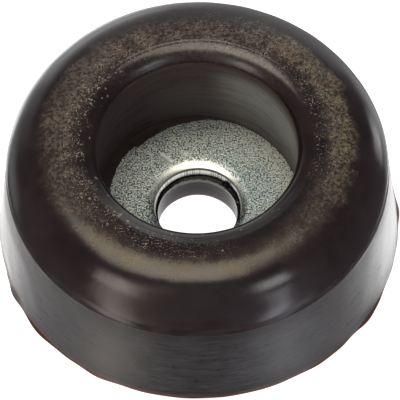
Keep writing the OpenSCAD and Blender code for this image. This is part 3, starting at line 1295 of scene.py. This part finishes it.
def skin_section(angle_deg):
    """One cross section of the skin: its rounded edge, its top, and its outer foot."""
    edge = skin_edge(angle_deg)
    half = SKIN_T / 2
    reach = max(recess_foot_r + SKIN_BURIED - edge - half, 0.01)
    section = []
    for j in range(ROUND_POINTS):
        lift = math.radians(-90 - 180 / (ROUND_POINTS - 1) * j)
        section.append((edge + half + half * math.cos(lift), half + half * math.sin(lift)))
    for j in range(1, TOP_POINTS):
        t = j / (TOP_POINTS - 1)
        section.append((edge + half + reach * t, SKIN_T * (1 + SKIN_SWELL * t ** 3)))
    section.append((edge + half + reach, 0))
    return section


print("points of a cross section:", len(skin_section(SKIN_FROM)))


# %% A closed mesh from rows of points, and the skin
SKIN_ROWS = 260


def add_closed_mesh(name, rows, material, sharp_deg):
    """A closed piece from rings of points: walls between the rows, and a cap at each end."""
    count = len(rows[0])
    faces = []
    for i in range(len(rows) - 1):
        for j in range(count):
            k = (j + 1) % count
            faces.append((i * count + j, i * count + k, (i + 1) * count + k, (i + 1) * count + j))
    last = (len(rows) - 1) * count
    faces.append(tuple(range(count - 1, -1, -1)))
    faces.append(tuple(range(last, last + count)))
    piece = add_piece(name, [point for row in rows for point in row], faces, math.radians(sharp_deg))
    piece.data.materials.append(material)
    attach(piece, "root")
    return piece


skin_rows = []
for angle_deg in np.linspace(SKIN_FROM, SKIN_TO, SKIN_ROWS + 1):
    way_x = math.cos(math.radians(angle_deg))
    way_y = math.sin(math.radians(angle_deg))
    section = skin_section(angle_deg)
    skin_rows.append([(r * way_x * MM, r * way_y * MM, (washer_top + z) * MM) for r, z in section])
add_closed_mesh("flash_skin", skin_rows, recess_rubber, 50)

# %% [markdown]
# ## The nib
# Where the rubber left its gate, a torn nib is still in the screw hole, under the washer's edge. It
# is a lump about half a millimetre long. Its rings of points are pushed about by the same ripple
# as the body's marks, so that it looks torn and not turned.

# %% The nib
NIB_AT = 47.0
NIB_R = 2.52
NIB_Z = 1.90
NIB_LONG = 0.24
NIB_THICK = 0.13
NIB_TALL = 0.15
NIB_TORN = 0.16
NIB_RINGS = 10
NIB_SIDES = 16
NIB_TIP = math.pi / 2 - 0.15

nib_rows = []
nib_turn = math.radians(NIB_AT)
for tilt in np.linspace(-NIB_TIP, NIB_TIP, NIB_RINGS):
    row = []
    for around in np.linspace(0, 2 * math.pi, NIB_SIDES, endpoint=False):
        torn = 1 + NIB_TORN * float(ripple(np.array(around), 3 * tilt, waves=7, seed=21))
        outward = NIB_THICK * math.cos(tilt) * math.cos(around) * torn
        along = NIB_LONG * math.cos(tilt) * math.sin(around) * torn
        up = NIB_TALL * math.sin(tilt) * torn
        x = (NIB_R + outward) * math.cos(nib_turn) - along * math.sin(nib_turn)
        y = (NIB_R + outward) * math.sin(nib_turn) + along * math.cos(nib_turn)
        row.append((x * MM, y * MM, (NIB_Z + up) * MM))
    nib_rows.append(row)
add_closed_mesh("gate_nib", nib_rows, hole_rubber, 60)


# %% [markdown]
# ## The floor
# A pale sheet that runs past the edge of the picture. It glows a little, so it stays an even white
# and keeps only a faint shadow. A big white sheet would also be mirrored in the glossy rubber, and
# the dome below already holds the light that the rubber should mirror, so the sheet is hidden from
# mirror rays. A small disc under the screw hole is not, because the hole's wall must see the bench.

# %% The floor
FLOOR_HALF = 3.0
DISC_R = 0.004
DISC_SIDES = 32
DISC_LIFT = 0.00002
PAPER = (0.50, 0.52, 0.56, 1)
PAPER_GLOW = 0.95


def make_floor(name, outline, shown_in_gloss):
    """A flat pale sheet on the ground."""
    mesh = bpy.data.meshes.new(name)
    mesh.from_pydata(outline, [], [tuple(range(len(outline)))])
    floor = bpy.data.objects.new(name, mesh)
    bpy.context.scene.collection.objects.link(floor)
    made, tree, shader = new_material(name)
    fibre = noise(tree, place(tree, SPOT)["Point"], scale=0.02, detail=3.0, roughness=0.6)
    fill(tree, shader, {"Base Color": PAPER, "Roughness": 0.9, "Specular IOR Level": 0.0,
                        "Emission Color": (1, 1, 1, 1), "Emission Strength": PAPER_GLOW,
                        "Normal": bump(tree, fibre, distance_mm=0.01)})
    mesh.materials.append(made)
    floor.visible_glossy = shown_in_gloss
    print(f"{name}: {len(outline)} corners, glossy rays see it: {shown_in_gloss}")


square = [(-FLOOR_HALF, -FLOOR_HALF, 0), (FLOOR_HALF, -FLOOR_HALF, 0),
          (FLOOR_HALF, FLOOR_HALF, 0), (-FLOOR_HALF, FLOOR_HALF, 0)]
turns = [2 * math.pi * i / DISC_SIDES for i in range(DISC_SIDES)]
disc = [(DISC_R * math.cos(turn), DISC_R * math.sin(turn), DISC_LIFT) for turn in turns]
make_floor("floor", square, False)
make_floor("floor_in_the_hole", disc, True)


# %% [markdown]
# ## The studio
# Glossy black rubber is seen only by what it mirrors, so lighting it means building the room round
# it. Lamps could do that, but each would also throw its own shadow and noise. Here the world
# itself is the room: a dark dome in which soft-edged panels are hung, each by its azimuth and
# elevation. Azimuth 0 is the camera's side, here and in all of the studio. The camera sees a plain
# backdrop instead of the dome.

# %% A panel of the dome
def make_panel_group():
    """A soft-edged panel of the dome, as a mask."""
    sockets = {"Azimuth": "Float", "Elevation": "Float", "At Azimuth": "Float", "Half Width": "Float",
               "At Elevation": "Float", "Half Height": "Float", "Edge": "Float"}
    tree, given, end = new_group("Panel", sockets, {"Mask": "Float"})

    def soft_edge(distance, half):
        """1 as far as an Edge within the half size, and 0 from an Edge past it."""
        return fade(tree, calc(tree, "ABSOLUTE", distance), calc(tree, "ADD", given[half], given["Edge"]),
                    calc(tree, "SUBTRACT", given[half], given["Edge"]))

    turn = calc(tree, "SUBTRACT", given["Azimuth"], given["At Azimuth"])
    wide = soft_edge(calc(tree, "WRAP", turn, 180.0, -180.0), "Half Width")
    tall = soft_edge(calc(tree, "SUBTRACT", given["Elevation"], given["At Elevation"]), "Half Height")
    fill(tree, end, {"Mask": product(tree, wide, tall)})
    return tree


PANEL = make_panel_group()
print("a panel takes", len(PANEL.nodes), "nodes")

# %% The dome
DARK = (0.11, 0.103, 0.115, 1)
NEUTRAL = (1.0, 1.0, 1.01)


class Dome:
    """A world that is dark until panels of light are hung in it."""

    def __init__(self, dark):
        world = bpy.data.worlds.new("studio")
        bpy.context.scene.world = world
        world.use_nodes = True
        self.tree = world.node_tree
        self.tree.nodes.clear()
        coords = node(self.tree, "ShaderNodeTexCoord").outputs["Generated"]
        self.way = node(self.tree, "ShaderNodeSeparateXYZ", {0: coords}).outputs
        toward_camera = calc(self.tree, "MULTIPLY", self.way["Y"], -1.0)
        self.azimuth = calc(self.tree, "DEGREES", calc(self.tree, "ARCTAN2", self.way["X"], toward_camera))
        self.elevation = calc(self.tree, "DEGREES", calc(self.tree, "ARCSINE", self.way["Z"]))
        self.light = dark
        self.panels = 0

    def add(self, mask, strength, colour):
        """Mixes a panel's light in, through its mask."""
        self.light = blend(self.tree, mask, self.light, (*(strength * c for c in colour), 1))
        self.panels += 1

    def hang(self, azimuth, elevation, half_width, half_height, edge, strength, colour=NEUTRAL):
        """Hangs one panel. Angles are in degrees."""
        mask = place(self.tree, PANEL, {"Azimuth": self.azimuth, "Elevation": self.elevation,
                                        "At Azimuth": float(azimuth), "Half Width": float(half_width),
                                        "At Elevation": float(elevation), "Half Height": float(half_height),
                                        "Edge": float(edge)})[0]
        self.add(mask, strength, colour)

    def hang_softbox(self, x_range, y_range, edge, strength, colour):
        """Hangs a level panel overhead, whose sides are given at a height of 1 above the foot."""
        up = calc(self.tree, "MAXIMUM", self.way["Z"], 0.01)
        mask = fade(self.tree, self.way["Z"], 0.2, 0.3)
        for axis, (low, high) in (("X", x_range), ("Y", y_range)):
            along = calc(self.tree, "DIVIDE", self.way[axis], up)
            mask = product(self.tree, mask, fade(self.tree, along, low - edge, low + edge))
            mask = product(self.tree, mask, fade(self.tree, along, high + edge, high - edge))
        self.add(mask, strength, colour)

    def finish(self, seen):
        """Shows the camera a plain backdrop, and the foot the dome."""
        rays = node(self.tree, "ShaderNodeLightPath")
        shown = blend(self.tree, rays.outputs["Is Camera Ray"], self.light, seen)
        back = node(self.tree, "ShaderNodeBackground", {"Color": shown, "Strength": 1.0})
        node(self.tree, "ShaderNodeOutputWorld", {"Surface": back.outputs[0]})
        print(f"dome: {self.panels} panels, {len(self.tree.nodes)} nodes")


dome = Dome(DARK)
print("the empty dome has", len(dome.tree.nodes), "nodes")

# %% [markdown]
# First come the parts of the room that no lamp stands in: what is behind the camera, the back of the
# room and its far corners. The camera looks down on the foot's wall, so the wall mirrors the bench.
# The floor is hidden from mirror rays, and the panels below the horizon stand in for its light.

# %% Behind the camera, and the back of the room
DAYLIGHT = (0.99, 1.0, 1.02)

dome.hang(azimuth=0, elevation=22, half_width=26, half_height=40, edge=8, strength=0.21)
dome.hang(azimuth=0, elevation=-42, half_width=26, half_height=22, edge=8, strength=0.07)
dome.hang(azimuth=178, elevation=26, half_width=24, half_height=20, edge=7, strength=0.55)
dome.hang(azimuth=168, elevation=28, half_width=9, half_height=15, edge=6, strength=0.8)
dome.hang(azimuth=164, elevation=-40, half_width=26, half_height=12, edge=7, strength=0.28)
dome.hang(azimuth=164, elevation=-19, half_width=26, half_height=14, edge=7, strength=0.5)
dome.hang(azimuth=163, elevation=-1, half_width=16, half_height=13, edge=7, strength=0.72)
dome.hang(azimuth=180, elevation=-8, half_width=14, half_height=6, edge=5, strength=0.6)
print("panels so far:", dome.panels)

# %% The far corners of the room, and the bench below them
dome.hang(azimuth=-130, elevation=-25, half_width=20, half_height=12, edge=8, strength=0.6, colour=DAYLIGHT)
dome.hang(azimuth=-140, elevation=-5, half_width=14, half_height=18, edge=10, strength=0.42, colour=DAYLIGHT)
dome.hang(azimuth=-160, elevation=-20, half_width=16, half_height=28, edge=9, strength=1.1, colour=DAYLIGHT)
dome.hang(azimuth=-162, elevation=-10, half_width=11, half_height=5, edge=5, strength=1.85, colour=DAYLIGHT)
dome.hang(azimuth=-155, elevation=-41, half_width=15, half_height=8, edge=7, strength=2.15, colour=DAYLIGHT)
dome.hang(azimuth=142, elevation=-45, half_width=13, half_height=7, edge=7, strength=0.5)
dome.hang(azimuth=141, elevation=-30, half_width=11, half_height=14, edge=8, strength=0.9)
dome.hang(azimuth=128, elevation=-15, half_width=5, half_height=10, edge=5, strength=2.7)
dome.hang(azimuth=137.5, elevation=-70, half_width=20.5, half_height=18, edge=3, strength=3.5)
dome.hang(azimuth=-156, elevation=-70, half_width=28, half_height=17, edge=5, strength=2.7)
print("panels so far:", dome.panels)

# %% [markdown]
# Then come the lights that give the rubber its highlights. On each side of the camera stands a
# window. One panel alone would give it one brightness and one shape, so each window is several: a
# dim one for the wall that it lights beside it, a bright one for its pane, and smaller ones above
# and below. The left window is warm and the right one cool. A softbox hangs overhead.

# %% Two windows and a softbox
SUNLIT = (1.11, 1.0, 0.885)
SKY = (0.93, 0.94, 1.02)
WARM_BOX = (1.08, 1.0, 0.86)

dome.hang(azimuth=-40.5, elevation=-7, half_width=9.5, half_height=32, edge=7, strength=2.4, colour=SUNLIT)
dome.hang(azimuth=-49, elevation=-47, half_width=10, half_height=8, edge=6, strength=2.0, colour=SUNLIT)
dome.hang(azimuth=-27, elevation=2, half_width=8, half_height=40, edge=8, strength=0.45, colour=SUNLIT)
dome.hang(azimuth=-28, elevation=48, half_width=10, half_height=7, edge=9, strength=0.7, colour=SUNLIT)
dome.hang(azimuth=-44, elevation=31, half_width=10, half_height=12, edge=6, strength=4.2, colour=SUNLIT)
dome.hang(azimuth=38, elevation=-3, half_width=20, half_height=38, edge=12, strength=0.33, colour=SKY)
dome.hang(azimuth=39, elevation=-12, half_width=4, half_height=31, edge=6, strength=3.1, colour=SKY)
dome.hang(azimuth=39, elevation=-30, half_width=4.5, half_height=11, edge=7, strength=3.2, colour=SKY)
dome.hang(azimuth=48, elevation=-46, half_width=8, half_height=12, edge=7, strength=1.1, colour=SKY)
dome.hang(azimuth=41, elevation=36, half_width=8, half_height=8, edge=6, strength=4.75)
dome.hang_softbox(x_range=(-0.52, 0.22), y_range=(-0.29, 0.31), edge=0.08, strength=3.6, colour=WARM_BOX)
dome.finish(seen=(1, 1, 1, 1))
bpy.context.scene.view_settings.view_transform = "Standard"

# %% [markdown]
# ## The camera
# A long lens from far away, looking a little over half way down, keeps the rim of the foot nearly
# a true ellipse. The camera is aimed at a point near the foot's middle and rolled by a degree, as
# if it were held by hand. The lens is given in picture widths, then turned into millimetres.

# %% The camera
VIEW_DOWN = math.radians(58.197)
ROLL = math.radians(-0.9695)
DISTANCE = 30 * base_r * MM
AIM_X = 0.0103 * base_r * MM
AIM_Z = 0.2538 * base_r * MM
LENS_WIDTHS = 15.04625
SENSOR_MM = 36.0

ahead = Vector((0, math.cos(VIEW_DOWN), -math.sin(VIEW_DOWN)))
right = Vector((1, 0, 0))
upward = right.cross(ahead)
camera_data = bpy.data.cameras.new("camera")
camera_data.sensor_width = SENSOR_MM
camera_data.lens = LENS_WIDTHS * SENSOR_MM
camera_data.clip_start = 0.01
camera_data.clip_end = 20
camera = bpy.data.objects.new("camera", camera_data)
bpy.context.scene.collection.objects.link(camera)
axis_x = right * math.cos(ROLL) + upward * math.sin(ROLL)
axis_y = upward * math.cos(ROLL) - right * math.sin(ROLL)
turn = Matrix((axis_x, axis_y, -ahead)).transposed().to_4x4()
camera.matrix_world = Matrix.Translation(Vector((AIM_X, 0, AIM_Z)) - ahead * DISTANCE) @ turn
bpy.context.scene.camera = camera
print(f"camera: lens {camera_data.lens:.0f} mm, {DISTANCE:.2f} m away")
